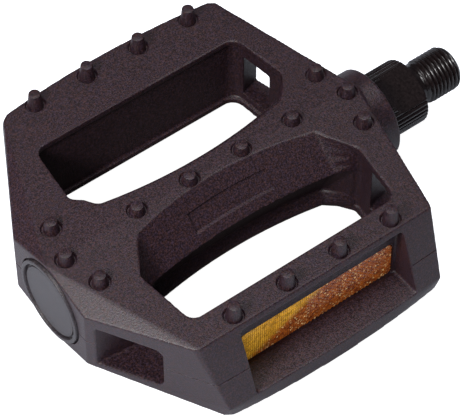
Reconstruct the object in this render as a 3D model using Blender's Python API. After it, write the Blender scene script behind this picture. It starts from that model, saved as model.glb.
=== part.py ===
"""Left flat pedal of a bicycle: a one-piece moulded cage with integral studs on both
treads, two amber reflectors, and a cup-and-cone axle with a left-hand crank thread.

Frame: the axle lies along X with its crank end at +X, +Y is the rear of the pedal and
+Z is the upper tread. Dimensions along X are taken from the middle of the stud grid, and
the whole pedal is then carried by an empty that puts its middle at the origin. Turning
the cage half a turn about the axle gives the same cage, so most features are made once
and copied with turned_over().
"""
import math

import bmesh
import bpy
from mathutils import Matrix, Vector

MM = 0.001

# ---- cage outline (mm) ----
RAIL_Z = 12.2            # upper edge of the front and rear rails
RIDGE_Y, RIDGE_Z = 1.2, 13.3
REAR_Y, REAR_BOW = 48.6, 2.2      # rear edge of the upper tread, bowed outwards
FRONT_Y = -41.7          # straight front edge of the upper tread
LIP_Y, LIP_Z, LIP_BOW = -49.2, -8.3, 0.8      # foot of the sloping front face
CORNER_X = 33.6          # corners of the rear edge lie at plus and minus this
OUT_X, OUT_Y, OUT_Z = -53.4, 15.4, 9.8        # outboard end face
OUT_TOP = (-53.2, 1.2, 13.4)
FRONT_OUT = (-38.8, 11.9)         # x and z of the front outboard corner
IN_X, IN_SLOPE = 45.0, 0.217      # inboard side, x = IN_X - IN_SLOPE * |y|

# ---- studs (mm) ----
STUD_PITCH = 16.5
STUD_TIP_R, STUD_ROOT_R = 1.35, 2.05
MOAT_R, MOAT_DEPTH = 2.6, 0.5
RAIL_STUD_Y = (46.9, -38.6)       # rear row, front row
UNDER_STUD_Y = (44.6, -38.6)      # the same rows of the lower tread, before it is turned over
RAIL_TIP_Z, MID_TIP_Z, END_TIP_Z = 16.4, 15.1, 15.9
MID_STUD_Y = 1.7
END_STUDS = ((-45.2, 10.1), (-48.0, -0.3), (-45.1, -10.9),
             (39.3, 10.2), (42.0, 0.3), (39.0, -10.2))
STUD_SEGMENTS = 12

# ---- windows (mm) ----
RAIL_WALL_Y = -33.8
WINDOW_CORNERS_RAIL = ((-33.8, 3.0), (30.2, 3.5))   # x and radius at the rail side
WINDOW_WIDEST = ((-36.1, -15.4, 1.5), (32.5, -16.0, 1.5))
HUB_CORNER_X, HUB_CORNER_R = (-29.0, 27.0), (1.5, 1.2)      # ends of the slope
EDGE_CORNER_X, EDGE_CORNER_R = (-31.0, 26.6), (4.0, 1.5)    # ends of the lower edge
HUB_ARC_X = -2.0
HUB_CREST = (-0.7, 13.2)          # y and z where the hub's long slope starts
HUB_LEDGE = (-11.1, 3.7)          # y and z where it ends
HUB_FOOT = (-6.0, -10.5)          # y and z at the foot of the wall under the ledge
HUB_EDGE_Y, EDGE_BOW = -5.8, 0.0036           # the lower edge and its bow
UNDERCUT = 0.8                    # how far window walls stand back behind the lips
LIP_TOP = 10.6

# ---- side tunnels (mm): plan corners, outer pair then inner pair ----
TUNNEL_OUT = ((-52.6, -17.6), (-44.4, -33.9), (-32.0, -30.5), (-33.0, -20.0))
TUNNEL_IN = ((42.0, -19.4), (38.6, -33.6), (28.5, -30.3), (31.0, -22.0))
TUNNEL_OUT_Z, TUNNEL_IN_Z = (-8.0, 6.4), (-6.4, 8.4)

# ---- reflectors (mm) ----
RECESS_HALF_X, RECESS_Z, RECESS_BACK_Y = 25.7, (-8.0, 10.8), -40.2
SEAT_HALF_X, SEAT_Z, SEAT_BACK_Y = 24.9, (-8.3, 4.2), -36.1
LENS_FACE_Y, LENS_T = -40.0, 1.6
BACK_T = 1.7
GAP = 0.3

# ---- hub bore and boss (mm) ----
BOSS_R, BOSS_X = 12.5, 49.7
CAP_POCKET_R, CAP_POCKET_X = 12.3, -52.3
CHAMBER_R, OUT_SEAT_X = 9.8, -41.3
OUT_SEAT_R, OUT_SEAT_END = 9.1, -34.9
MID_BORE_R = 6.4
IN_SEAT_R, IN_SEAT_X = 10.5, 37.3

# ---- bearings (mm) ----
BALL_R = 25.4 / 16
IN_BALLS, IN_BALL_X, IN_PITCH_R = 12, 41.0, 7.1
OUT_BALLS, OUT_BALL_X, OUT_PITCH_R = 10, -38.6, 6.0
RACE_CLEAR = 0.3

IN_CUP_LIP_X, OUT_CUP_LIP_X = 43.6, -40.9
CONE_BACK_X, WASHER_X, NUT_X = -45.0, (-46.2, -45.3), (-50.0, -46.5)
NUT_WIDTH = 13.0
SEAL_X = (45.4, 49.4)
CAP_FACE_X, CAP_RIM_X, CAP_SKIRT_X = -53.9, -54.2, -49.8

# ---- axle (mm) ----
THREAD_R, THREAD_PITCH, THREAD_DEPTH = 12.7 / 2, 25.4 / 20, 0.72
THREAD_X0, AXLE_TIP_X = 65.6, 77.0
NECK_R = 5.4
COLLAR_R, COLLAR_X0, COLLAR_X1 = 9.35, 50.1, 63.0
COLLAR_RIBS, RIB_DEPTH = 40, 0.4
CORE_R = 6.8             # the turned blank inside the collar
FLAT_WIDTH, FLAT_X0, FLAT_RUNOUT = 15.0, 54.4, 2.0
FLAT_TILT = math.radians(26)      # the flats' normal leans this far from +Z to -Y
JOURNAL_R = 8.2
SHAFT_R_IN, SHAFT_R_OUT, END_THREAD_R = 5.0, 4.4, 4.0
AXLE_END_X = -50.6
KEYWAY_W, KEYWAY_DEPTH = 1.6, 0.8

COLOURS = {
    "cage_plastic": ((0.032, 0.026, 0.030), 0.62, 0.0),
    "cap_plastic": ((0.10, 0.10, 0.105), 0.5, 0.0),
    "axle_steel": ((0.02, 0.019, 0.019), 0.22, 1.0),
    "bright_steel": ((0.55, 0.55, 0.56), 0.25, 1.0),
    "lens_amber": ((0.80, 0.32, 0.02), 0.18, 0.0),
    "reflector_back": ((0.20, 0.10, 0.03), 0.5, 0.0),
    "seal_rubber": ((0.02, 0.02, 0.02), 0.8, 0.0),
}


# ---------------------------------------------------------------- scene helpers
def clear_scene():
    for old in list(bpy.data.objects):
        bpy.data.objects.remove(old, do_unlink=True)


def new_collection(name):
    collection = bpy.data.collections.new(name)
    bpy.context.scene.collection.children.link(collection)
    return collection


def material(name):
    found = bpy.data.materials.get(name)
    if found:
        return found
    colour, roughness, metallic = COLOURS[name]
    made = bpy.data.materials.new(name)
    made.use_nodes = True
    shader = made.node_tree.nodes["Principled BSDF"]
    shader.inputs["Base Color"].default_value = (*colour, 1.0)
    shader.inputs["Roughness"].default_value = roughness
    shader.inputs["Metallic"].default_value = metallic
    return made


def object_from_bmesh(bm, name, collection):
    bmesh.ops.recalc_face_normals(bm, faces=bm.faces)
    mesh = bpy.data.meshes.new(name)
    bm.to_mesh(mesh)
    bm.free()
    made = bpy.data.objects.new(name, mesh)
    collection.objects.link(made)
    return made


def finish_part(part, slot, smooth_angle=35):
    part.data.materials.clear()
    part.data.materials.append(material(slot))
    part.data.shade_smooth()
    part.data.set_sharp_from_angle(angle=math.radians(smooth_angle))
    return part


def hide_cutter(cutter):
    cutter.hide_render = True
    cutter.display_type = "WIRE"
    return cutter


def apply_boolean(part, tool, operation):
    """Cut or join and keep the result as the part's own mesh."""
    step = part.modifiers.new("boolean", "BOOLEAN")
    step.operation = operation
    step.solver = "EXACT"
    step.object = tool
    bpy.context.view_layer.update()
    graph = bpy.context.evaluated_depsgraph_get()
    result = bpy.data.meshes.new_from_object(part.evaluated_get(graph))
    part.modifiers.clear()
    old = part.data
    part.data = result
    bpy.data.meshes.remove(old)


# ---------------------------------------------------------------- shape helpers
def turned_over(point):
    """The same point after half a turn about the axle."""
    x, y, z = point
    return (x, -y, -z)


def loft(bm, rings):
    """A closed solid through rings of equal length, capped at both ends."""
    loops = [[bm.verts.new(Vector(point) * MM) for point in ring] for ring in rings]
    count = len(loops[0])
    for low, high in zip(loops, loops[1:]):
        for i in range(count):
            j = (i + 1) % count
            bm.faces.new((low[i], low[j], high[j], high[i]))
    bm.faces.new(loops[0][::-1])
    bm.faces.new(loops[-1])


def rounded(corners, steps):
    """Plan points of a polygon whose corners (x, y, radius) are arcs of steps pieces."""
    points = []
    count = len(corners)
    for i, (x, y, radius) in enumerate(corners):
        here = Vector((x, y))
        if radius == 0:
            points.append((x, y))
            continue
        before = (Vector(corners[i - 1][:2]) - here).normalized()
        after = (Vector(corners[(i + 1) % count][:2]) - here).normalized()
        half = before.angle(after) / 2
        centre = here + (before + after).normalized() * (radius / math.sin(half))
        reach = radius / math.tan(half)
        start = here + before * reach - centre
        sweep = start.angle_signed(here + after * reach - centre)
        for k in range(steps + 1):
            arm = Matrix.Rotation(-sweep * k / steps, 2) @ start
            points.append(tuple(centre + arm))
    return points


def turned(bm, profile, segments):
    """Loops turned about X from (x, radius) points; a zero radius gives a single point."""
    loops = []
    for x, radius in profile:
        if radius == 0:
            loops.append([bm.verts.new((x * MM, 0, 0))])
            continue
        ring = []
        for k in range(segments):
            angle = math.tau * k / segments
            ring.append(bm.verts.new(
                (x * MM, radius * math.cos(angle) * MM, radius * math.sin(angle) * MM)))
        loops.append(ring)
    return loops


def skin(bm, loops, closed=False):
    """Join turned loops side by side; a loop of one point makes a fan."""
    pairs = list(zip(loops, loops[1:]))
    if closed:
        pairs.append((loops[-1], loops[0]))
    for low, high in pairs:
        count = max(len(low), len(high))
        for i in range(count):
            j = (i + 1) % count
            corners = [low[i % len(low)], low[j % len(low)],
                       high[j % len(high)], high[i % len(high)]]
            ring = list(dict.fromkeys(corners))
            if len(ring) > 2:
                bm.faces.new(ring)


def turned_solid(name, profile, segments, collection):
    bm = bmesh.new()
    skin(bm, turned(bm, [(profile[0][0], 0), *profile, (profile[-1][0], 0)], segments))
    return object_from_bmesh(bm, name, collection)


def turned_ring(name, profile, segments, collection):
    """A ring whose (x, radius) profile is a closed outline off the axis."""
    bm = bmesh.new()
    skin(bm, turned(bm, profile, segments), closed=True)
    return object_from_bmesh(bm, name, collection)


# ---------------------------------------------------------------- cage
def rear_edge_y(x):
    return REAR_Y + REAR_BOW * (1 - (x / CORNER_X) ** 2)


def cage_corners():
    """Corner points of the upper half; the lower half is these turned over."""
    points = [OUT_TOP, (OUT_X, OUT_Y, OUT_Z), (OUT_X, -OUT_Y, OUT_Z)]
    for k in range(9):
        x = (CORNER_X - 1.2) * (k - 4) / 4
        points.append((x, rear_edge_y(x), RAIL_Z))
    for x in (-CORNER_X - 0.9, CORNER_X + 0.8):
        points.append((x, REAR_Y - 1.2, RAIL_Z - 0.1))
    points.append((FRONT_OUT[0], FRONT_Y + 1.0, FRONT_OUT[1]))
    points.append((FRONT_OUT[0] + 1.2, FRONT_Y, RAIL_Z))
    points.append((IN_X + IN_SLOPE * FRONT_Y - 0.6, FRONT_Y, RAIL_Z))
    points.append((IN_X + IN_SLOPE * FRONT_Y, FRONT_Y + 1.4, RAIL_Z))
    points.append((IN_X, RIDGE_Y, RIDGE_Z))
    points.append((IN_X, -RIDGE_Y, RIDGE_Z - 0.1))
    for k in range(5):
        x = (CORNER_X + 0.3) * (k - 2) / 2
        bow = LIP_BOW * (1 - (x / CORNER_X) ** 2)
        points.append((x, LIP_Y - bow, LIP_Z))
    return points


def cage_blank(collection):
    bm = bmesh.new()
    upper = cage_corners()
    for point in upper + [turned_over(p) for p in upper]:
        bm.verts.new(Vector(point) * MM)
    hull = bmesh.ops.convex_hull(bm, input=bm.verts)
    loose = {item for item in hull["geom_interior"] + hull["geom_unused"]
             if isinstance(item, bmesh.types.BMVert)}
    bmesh.ops.delete(bm, geom=list(loose), context="VERTS")
    bmesh.ops.dissolve_limit(bm, angle_limit=math.radians(0.3), verts=bm.verts, edges=bm.edges)
    bmesh.ops.triangulate(bm, faces=bm.faces)
    return object_from_bmesh(bm, "cage", collection)


def hub_side(z):
    """y of the hub wall in the front window at height z, and its bow along X."""
    crest_y, crest_z = HUB_CREST
    ledge_y, ledge_z = HUB_LEDGE
    if z >= ledge_z:
        share = (crest_z - z) / (crest_z - ledge_z)
        return crest_y + share * (ledge_y - crest_y), 0.0052 - 0.0022 * min(share, 1.0)
    foot_y, foot_z = HUB_FOOT
    start_y = ledge_y + UNDERCUT
    share = (ledge_z - z) / (ledge_z - foot_z)
    return start_y + share * (foot_y - start_y), 0.003


def window_ring(z, hub, back, steps, ends=(HUB_CORNER_X, HUB_CORNER_R)):
    """The front window's outline at height z; back moves its rail and end walls out."""
    hub_y, bow = hub
    (end_out, end_in), (radius_out, radius_in) = ends
    (rail_out, r_out), (rail_in, r_in) = WINDOW_CORNERS_RAIL
    wide_out, wide_in = WINDOW_WIDEST

    def hub_at(x):
        return hub_y - bow * (x - HUB_ARC_X) ** 2

    arc = [end_in + (end_out - end_in) * k / 8 for k in range(9)]
    corners = [
        (rail_out - back, RAIL_WALL_Y - back, r_out),
        (rail_in + back, RAIL_WALL_Y - back, r_in),
        (wide_in[0] + back, wide_in[1], wide_in[2]),
        (arc[0], hub_at(arc[0]), radius_in),
        *[(x, hub_at(x), 0) for x in arc[1:-1]],
        (arc[-1], hub_at(arc[-1]), radius_out),
        (wide_out[0] - back, wide_out[1], wide_out[2]),
    ]
    return [(x, y, z) for x, y in rounded(corners, steps)]


def window_rings(steps):
    past = RIDGE_Z + 2.5
    ledge = HUB_LEDGE[1]
    foot = HUB_FOOT[1]
    rings = [window_ring(z, hub_side(z), back, steps) for z, back in (
        (past, 0), (LIP_TOP + 0.1, 0), (LIP_TOP - 0.1, UNDERCUT), (ledge, UNDERCUT),
        (ledge - 0.4, UNDERCUT), (foot, UNDERCUT))]
    ends = (EDGE_CORNER_X, EDGE_CORNER_R)
    rings.append(window_ring(foot - 0.3, (HUB_EDGE_Y - 0.3, EDGE_BOW), 0, steps, ends))
    rings.append(window_ring(-past, (HUB_EDGE_Y + 0.3, EDGE_BOW), 0, steps, ends))
    return rings


def both_ways(name, rings, collection):
    """One closed cutter from rings, and its copy turned over, in one object."""
    bm = bmesh.new()
    loft(bm, rings)
    loft(bm, [[turned_over(p) for p in ring] for ring in rings])
    return hide_cutter(object_from_bmesh(bm, name, collection))


def tunnel_rings(plan, heights):
    return [[(x, y, z) for x, y in plan] for z in heights]


def recess_rings(half_x, heights, back_y, front_y):
    """A box let into the front face, with rounded corners."""
    low, high = heights
    corners = [(-half_x, low, 0.6), (half_x, low, 0.6), (half_x, high, 1.6), (-half_x, high, 1.6)]
    outline = rounded(corners, 3)
    return [[(x, y, z) for x, z in outline] for y in (back_y, front_y)]


def top_z(x, y):
    """Height of the upper tread, a shallow roof over the axle."""
    run = (REAR_Y - RIDGE_Y) if y > RIDGE_Y else (RIDGE_Y - FRONT_Y)
    return RIDGE_Z - (RIDGE_Z - RAIL_Z) * abs(y - RIDGE_Y) / run


def studs(under):
    """Every stud of one tread as (x, y, tip z), the lower one not yet turned over."""
    rows = [(STUD_PITCH * (k - 1.5)) for k in range(4)]
    rails = UNDER_STUD_Y if under else RAIL_STUD_Y
    made = [(x, y, RAIL_TIP_Z) for y in rails for x in rows]
    made += [(x, MID_STUD_Y, MID_TIP_Z) for x in rows]
    made += [(x, y, END_TIP_Z) for x, y in END_STUDS]
    return made


def upright(bm, x, y, levels, segments, flip):
    """A turned solid about a vertical line, from (z, radius) levels."""
    rings = []
    for z, radius in levels:
        ring = []
        for k in range(segments):
            angle = math.tau * k / segments
            point = (x + radius * math.cos(angle), y + radius * math.sin(angle), z)
            ring.append(turned_over(point) if flip else point)
        rings.append(ring)
    loft(bm, rings)


def stud_sets(collection):
    moats, posts = bmesh.new(), bmesh.new()
    for flip in (False, True):
        for x, y, tip in studs(flip):
            floor = top_z(x, y) - MOAT_DEPTH
            upright(moats, x, y, ((floor, MOAT_R - 0.35), (floor + 2.0, MOAT_R + 0.9)),
                    STUD_SEGMENTS, flip)
            upright(posts, x, y, ((floor - 0.7, STUD_ROOT_R + 0.1), (floor, STUD_ROOT_R),
                                  (tip - 0.3, STUD_TIP_R), (tip, STUD_TIP_R - 0.25)),
                    STUD_SEGMENTS, flip)
    return (hide_cutter(object_from_bmesh(moats, "moats", collection)),
            hide_cutter(object_from_bmesh(posts, "posts", collection)))


def make_cage(parts, cutters):
    cage = cage_blank(parts)
    boss = turned_solid("boss", [(IN_X - 12, BOSS_R), (BOSS_X - 0.5, BOSS_R), (BOSS_X, BOSS_R - 0.5)],
                        48, cutters)
    apply_boolean(cage, hide_cutter(boss), "UNION")
    cuts = [
        both_ways("windows", window_rings(3), cutters),
        both_ways("tunnels_outboard", tunnel_rings(TUNNEL_OUT, TUNNEL_OUT_Z), cutters),
        both_ways("tunnels_inboard", tunnel_rings(TUNNEL_IN, TUNNEL_IN_Z), cutters),
        both_ways("reflector_recesses",
                  recess_rings(RECESS_HALF_X, RECESS_Z, RECESS_BACK_Y, LIP_Y - 6), cutters),
        both_ways("lens_seats", recess_rings(SEAT_HALF_X, SEAT_Z, SEAT_BACK_Y, RECESS_BACK_Y - 0.5),
                  cutters),
        hide_cutter(turned_solid("bore", [
            (OUT_X - 3, CAP_POCKET_R), (CAP_POCKET_X, CAP_POCKET_R),
            (CAP_POCKET_X, CHAMBER_R), (OUT_SEAT_X, CHAMBER_R),
            (OUT_SEAT_X, OUT_SEAT_R), (OUT_SEAT_END, OUT_SEAT_R),
            (OUT_SEAT_END, MID_BORE_R), (IN_SEAT_X, MID_BORE_R),
            (IN_SEAT_X, IN_SEAT_R), (BOSS_X + 3, IN_SEAT_R)], 48, cutters)),
    ]
    moats, posts = stud_sets(cutters)
    for cutter in cuts + [moats]:
        apply_boolean(cage, cutter, "DIFFERENCE")
    apply_boolean(cage, posts, "UNION")
    finish_part(cage, "cage_plastic")


# ---------------------------------------------------------------- reflectors
def make_reflector(parts, front):
    """Lens and backing plate in one pocket; the rear pair is turned over."""
    word = "front" if front else "rear"
    z_low, z_high = SEAT_Z[0] + GAP, SEAT_Z[1] - GAP
    half_x = SEAT_HALF_X - GAP
    back_y = LENS_FACE_Y + LENS_T + GAP
    layers = (("lens", LENS_FACE_Y, LENS_FACE_Y + LENS_T, half_x, 2.0, "lens_amber"),
              ("backing", back_y, back_y + BACK_T, half_x, 1.2, "reflector_back"))
    for kind, y0, y1, half, radius, slot in layers:
        outline = rounded([(-half, z_low, 0.8), (half, z_low, 0.8),
                           (half, z_high, radius), (-half, z_high, radius)], 3)
        rings = [[(x, y, z) for x, z in outline] for y in (y0, y1)]
        if not front:
            rings = [[turned_over(p) for p in ring] for ring in rings]
        bm = bmesh.new()
        loft(bm, rings)
        finish_part(object_from_bmesh(bm, f"reflector_{word}_{kind}", parts), slot)


# ---------------------------------------------------------------- axle
def thread_radius(x, angle):
    """Left-hand thread: the crest moves towards -X as the angle grows."""
    phase = (x / THREAD_PITCH + angle / math.tau) % 1.0
    crest = 1 - abs(2 * phase - 1)
    fade = min(1.0, (x - THREAD_X0) / THREAD_PITCH, (AXLE_TIP_X - x) / 0.9)
    return THREAD_R - THREAD_DEPTH + THREAD_DEPTH * crest * max(fade, 0.0)


def axle_loops(bm, segments):
    plain = [
        (AXLE_END_X, END_THREAD_R - 0.5), (AXLE_END_X + 0.5, END_THREAD_R),
        (-35.6, END_THREAD_R), (-34.8, SHAFT_R_OUT), (-20, SHAFT_R_OUT),
        (36, SHAFT_R_IN), (cone_x(SHAFT_R_IN), SHAFT_R_IN), (cone_x(JOURNAL_R), JOURNAL_R),
        (COLLAR_X0 + 0.4, JOURNAL_R), (COLLAR_X0 + 0.4, CORE_R), (COLLAR_X1 - 1.0, CORE_R),
        (COLLAR_X1 - 1.0, NECK_R + 0.4), (COLLAR_X1, NECK_R + 0.4), (COLLAR_X1 + 0.6, NECK_R),
        (THREAD_X0 - 0.3, NECK_R),
    ]
    loops = turned(bm, [(AXLE_END_X, 0), *plain], segments)
    steps = 4
    count = int((AXLE_TIP_X - 0.5 - THREAD_X0) / THREAD_PITCH * steps)
    for k in range(count + 1):
        x = THREAD_X0 + k * THREAD_PITCH / steps
        ring = []
        for i in range(segments):
            angle = math.tau * i / segments
            radius = thread_radius(x, angle)
            ring.append(bm.verts.new(
                (x * MM, radius * math.cos(angle) * MM, radius * math.sin(angle) * MM)))
        loops.append(ring)
    tip = [(AXLE_TIP_X - 0.35, THREAD_R - THREAD_DEPTH), (AXLE_TIP_X, THREAD_R - THREAD_DEPTH - 0.5),
           (AXLE_TIP_X, 0)]
    return loops + turned(bm, tip, segments)


def cone_x(radius):
    """x of the axle's own bearing cone where it has the given radius."""
    reach = (BALL_R + RACE_CLEAR) * math.sqrt(2)
    return IN_BALL_X + reach + (radius - IN_PITCH_R)


def ribbed_collar(cutters):
    """The collar as a ribbed bar, cut by the two spanner flats."""
    bm = bmesh.new()
    rings = []
    for x, shrink in ((COLLAR_X0, 0.5), (COLLAR_X0 + 0.5, 0), (COLLAR_X1 - 0.6, 0), (COLLAR_X1, 0.6)):
        ring = []
        for k in range(COLLAR_RIBS * 2):
            radius = COLLAR_R - shrink - (RIB_DEPTH if k % 2 else 0)
            angle = math.tau * k / (COLLAR_RIBS * 2)
            ring.append((x, radius * math.cos(angle), radius * math.sin(angle)))
        rings.append(ring)
    loft(bm, rings)
    collar = hide_cutter(object_from_bmesh(bm, "collar_bar", cutters))
    bm = bmesh.new()
    turn = Matrix.Rotation(FLAT_TILT, 4, "X")
    wide, far = COLLAR_R + 3, COLLAR_R + 2
    for side in (-1, 1):
        rings = []
        for x, near in ((FLAT_X0 - FLAT_RUNOUT, COLLAR_R + 0.1), (FLAT_X0, FLAT_WIDTH / 2),
                        (COLLAR_X1 + 1, FLAT_WIDTH / 2)):
            box = ((-wide, near), (wide, near), (wide, far), (-wide, far))
            rings.append([tuple(turn @ Vector((x, y, side * z))) for y, z in box])
        loft(bm, rings)
    flats = hide_cutter(object_from_bmesh(bm, "spanner_flats", cutters))
    apply_boolean(collar, flats, "DIFFERENCE")
    return collar


def make_axle(parts, cutters):
    bm = bmesh.new()
    skin(bm, axle_loops(bm, 20))
    axle = object_from_bmesh(bm, "axle", parts)
    apply_boolean(axle, ribbed_collar(cutters), "UNION")
    bm = bmesh.new()
    half = KEYWAY_W / 2
    low = END_THREAD_R - KEYWAY_DEPTH
    section = ((-half, low), (half, low), (half, low + 2), (-half, low + 2))
    loft(bm, [[(x, y, z) for y, z in section] for x in (AXLE_END_X - 1, -41.5)])
    keyway = hide_cutter(object_from_bmesh(bm, "keyway", cutters))
    apply_boolean(axle, keyway, "DIFFERENCE")
    finish_part(axle, "axle_steel")


# ---------------------------------------------------------------- bearings and ends
def make_cups(parts):
    reach = (BALL_R + RACE_CLEAR) * math.sqrt(2)
    wall = IN_PITCH_R + BALL_R + RACE_CLEAR
    outer = IN_SEAT_R - GAP
    back = IN_SEAT_X + GAP
    floor = back + 1.2
    corner_x = IN_BALL_X - reach + (wall - IN_PITCH_R)
    race_r = IN_PITCH_R + reach - (IN_BALL_X - floor)
    turned_finish(parts, "inboard_cup", [
        (back, 6.2), (back, outer), (IN_CUP_LIP_X, outer), (IN_CUP_LIP_X, wall),
        (corner_x, wall), (floor, race_r), (floor, 6.2)], 32, "bright_steel")

    wall = OUT_PITCH_R + BALL_R + RACE_CLEAR
    outer = OUT_SEAT_R - GAP
    back = OUT_SEAT_END - GAP
    floor = back - 1.1
    corner_x = OUT_BALL_X + reach - (wall - OUT_PITCH_R)
    race_r = OUT_PITCH_R + reach - (floor - OUT_BALL_X)
    turned_finish(parts, "outboard_cup", [
        (back, 5.2), (floor, 5.2), (floor, race_r), (corner_x, wall),
        (OUT_CUP_LIP_X, wall), (OUT_CUP_LIP_X, outer), (back, outer)], 32, "bright_steel")


def turned_finish(parts, name, profile, segments, slot):
    finish_part(turned_ring(name, profile, segments, parts), slot)


def make_balls(parts, side, count, centre_x, pitch_r):
    """One ring of loose balls; they share a mesh, and each is its own object."""
    carrier = bpy.data.objects.new(f"{side}_ball_ring_axis", None)
    parts.objects.link(carrier)
    bm = bmesh.new()
    bmesh.ops.create_uvsphere(bm, u_segments=8, v_segments=5, radius=BALL_R * MM)
    mesh = bpy.data.meshes.new(f"{side}_ball")
    bm.to_mesh(mesh)
    bm.free()
    for k in range(count):
        angle = math.tau * k / count
        ball = bpy.data.objects.new(f"{side}_ball_{k + 1:02d}", mesh)
        ball.location = (centre_x * MM, pitch_r * math.cos(angle) * MM,
                         pitch_r * math.sin(angle) * MM)
        ball.rotation_euler = (angle, 0, 0)
        ball.parent = carrier
        parts.objects.link(ball)
        finish_part(ball, "bright_steel")


def hexagon(across_flats):
    radius = across_flats / 2 / math.cos(math.pi / 6)
    return [(radius * math.cos(math.tau * k / 6), radius * math.sin(math.tau * k / 6))
            for k in range(6)]


def hex_bar(name, x0, x1, across_flats, collection):
    bm = bmesh.new()
    loft(bm, [[(x, y, z) for y, z in hexagon(across_flats)] for x in (x0, x1)])
    return object_from_bmesh(bm, name, collection)


def make_outboard_end(parts, cutters):
    reach = (BALL_R + RACE_CLEAR) * math.sqrt(2)
    bore = hide_cutter(turned_solid("nut_bore", [(-56, END_THREAD_R + GAP), (-34, END_THREAD_R + GAP)],
                                    24, cutters))

    def cone_at(radius):
        return OUT_BALL_X - reach + (OUT_PITCH_R - radius)

    cone = turned_solid("outboard_cone", [
        (CONE_BACK_X, 6.3), (cone_at(7.0) - 0.5, 6.3), (cone_at(7.0) - 0.5, 7.0), (cone_at(7.0), 7.0),
        (cone_at(4.9), 4.9)], 32, parts)
    grip = hide_cutter(hex_bar("cone_hex", CONE_BACK_X, cone_at(7.0) - 0.6, NUT_WIDTH, cutters))
    apply_boolean(cone, grip, "UNION")
    apply_boolean(cone, bore, "DIFFERENCE")
    finish_part(cone, "bright_steel")

    washer = turned_solid("tab_washer", [(x, 6.3) for x in WASHER_X], 32, parts)
    apply_boolean(washer, bore, "DIFFERENCE")
    bm = bmesh.new()
    half = KEYWAY_W / 2 - GAP
    section = ((-half, END_THREAD_R - KEYWAY_DEPTH + GAP), (half, END_THREAD_R - KEYWAY_DEPTH + GAP),
               (half, 5.2), (-half, 5.2))
    loft(bm, [[(x, y, z) for y, z in section] for x in WASHER_X])
    tab = hide_cutter(object_from_bmesh(bm, "washer_tab", cutters))
    apply_boolean(washer, tab, "UNION")
    finish_part(washer, "bright_steel")

    nut = hex_bar("lock_nut", *NUT_X, NUT_WIDTH, parts)
    apply_boolean(nut, bore, "DIFFERENCE")
    finish_part(nut, "bright_steel")


def make_dust_cap(parts):
    """Push-in cap with a raised rim and a skirt, open towards the axle."""
    rim_r = CAP_POCKET_R - GAP
    skirt_r = CHAMBER_R - GAP
    seat = CAP_POCKET_X - GAP
    bm = bmesh.new()
    skin(bm, turned(bm, [
        (CAP_FACE_X, 0), (CAP_FACE_X, 10.2), (CAP_FACE_X + 0.6, 10.5), (CAP_FACE_X + 0.6, 10.8),
        (CAP_RIM_X, 11.1), (CAP_RIM_X, rim_r - 0.3), (CAP_RIM_X + 0.3, rim_r), (seat, rim_r),
        (seat, skirt_r), (CAP_SKIRT_X, skirt_r), (CAP_SKIRT_X, skirt_r - 0.9),
        (seat + 0.1, skirt_r - 0.9), (seat + 0.1, 0)], 48))
    finish_part(object_from_bmesh(bm, "dust_cap", parts), "cap_plastic")


def make_seal(parts):
    outer, inner = IN_SEAT_R - GAP, JOURNAL_R + GAP
    turned_finish(parts, "inboard_seal", [
        (SEAL_X[0], outer), (SEAL_X[1], outer), (SEAL_X[1], outer - 0.9),
        (SEAL_X[1] - 0.8, inner), (SEAL_X[0] + 1.2, inner), (SEAL_X[0], outer - 0.9)],
        32, "seal_rubber")


def main():
    clear_scene()
    parts = new_collection("flat_pedal")
    cutters = new_collection("cutters")
    make_cage(parts, cutters)
    make_reflector(parts, front=True)
    make_reflector(parts, front=False)
    make_axle(parts, cutters)
    make_cups(parts)
    make_balls(parts, "inboard", IN_BALLS, IN_BALL_X, IN_PITCH_R)
    make_balls(parts, "outboard", OUT_BALLS, OUT_BALL_X, OUT_PITCH_R)
    make_outboard_end(parts, cutters)
    make_dust_cap(parts)
    make_seal(parts)
    centre = bpy.data.objects.new("pedal_centre", None)
    centre.location = ((CAP_RIM_X + AXLE_TIP_X) / -2 * MM, 0, 0)
    for made in parts.objects:
        if made.parent is None:
            made.parent = centre
    parts.objects.link(centre)


main()
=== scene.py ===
"""Looks of the flat pedal: a moulded plastic cage with studs, two amber reflectors, a dust
cap and a black oxide axle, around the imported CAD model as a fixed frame.

Shapes are worked out in millimetres along the axle from the middle of the stud grid, and
to_object() carries them into the frame's metres.
"""
import math

import bmesh
import bpy
from mathutils import Matrix, Vector


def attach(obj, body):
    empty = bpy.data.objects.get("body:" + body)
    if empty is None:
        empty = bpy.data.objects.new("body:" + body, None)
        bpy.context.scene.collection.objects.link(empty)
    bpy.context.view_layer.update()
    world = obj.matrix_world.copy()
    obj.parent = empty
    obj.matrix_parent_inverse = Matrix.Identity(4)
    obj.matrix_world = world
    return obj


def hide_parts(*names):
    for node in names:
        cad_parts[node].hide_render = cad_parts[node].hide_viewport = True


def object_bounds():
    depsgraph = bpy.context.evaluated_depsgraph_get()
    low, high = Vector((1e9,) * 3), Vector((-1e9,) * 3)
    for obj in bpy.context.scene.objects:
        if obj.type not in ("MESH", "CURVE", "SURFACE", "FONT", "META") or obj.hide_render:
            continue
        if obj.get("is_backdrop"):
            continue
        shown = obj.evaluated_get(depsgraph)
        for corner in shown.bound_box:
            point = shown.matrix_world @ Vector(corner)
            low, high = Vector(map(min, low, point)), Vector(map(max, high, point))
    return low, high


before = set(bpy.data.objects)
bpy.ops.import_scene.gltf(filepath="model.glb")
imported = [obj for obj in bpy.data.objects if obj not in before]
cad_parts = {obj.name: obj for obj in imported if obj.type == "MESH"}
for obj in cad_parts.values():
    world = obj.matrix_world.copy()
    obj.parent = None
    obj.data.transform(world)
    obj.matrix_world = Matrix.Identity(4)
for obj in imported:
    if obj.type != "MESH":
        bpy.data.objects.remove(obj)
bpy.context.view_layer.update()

MM = 0.001
GRID_X = -11.4                    # the stud grid's middle, from the frame's origin
SCENE = bpy.context.scene.collection

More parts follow.
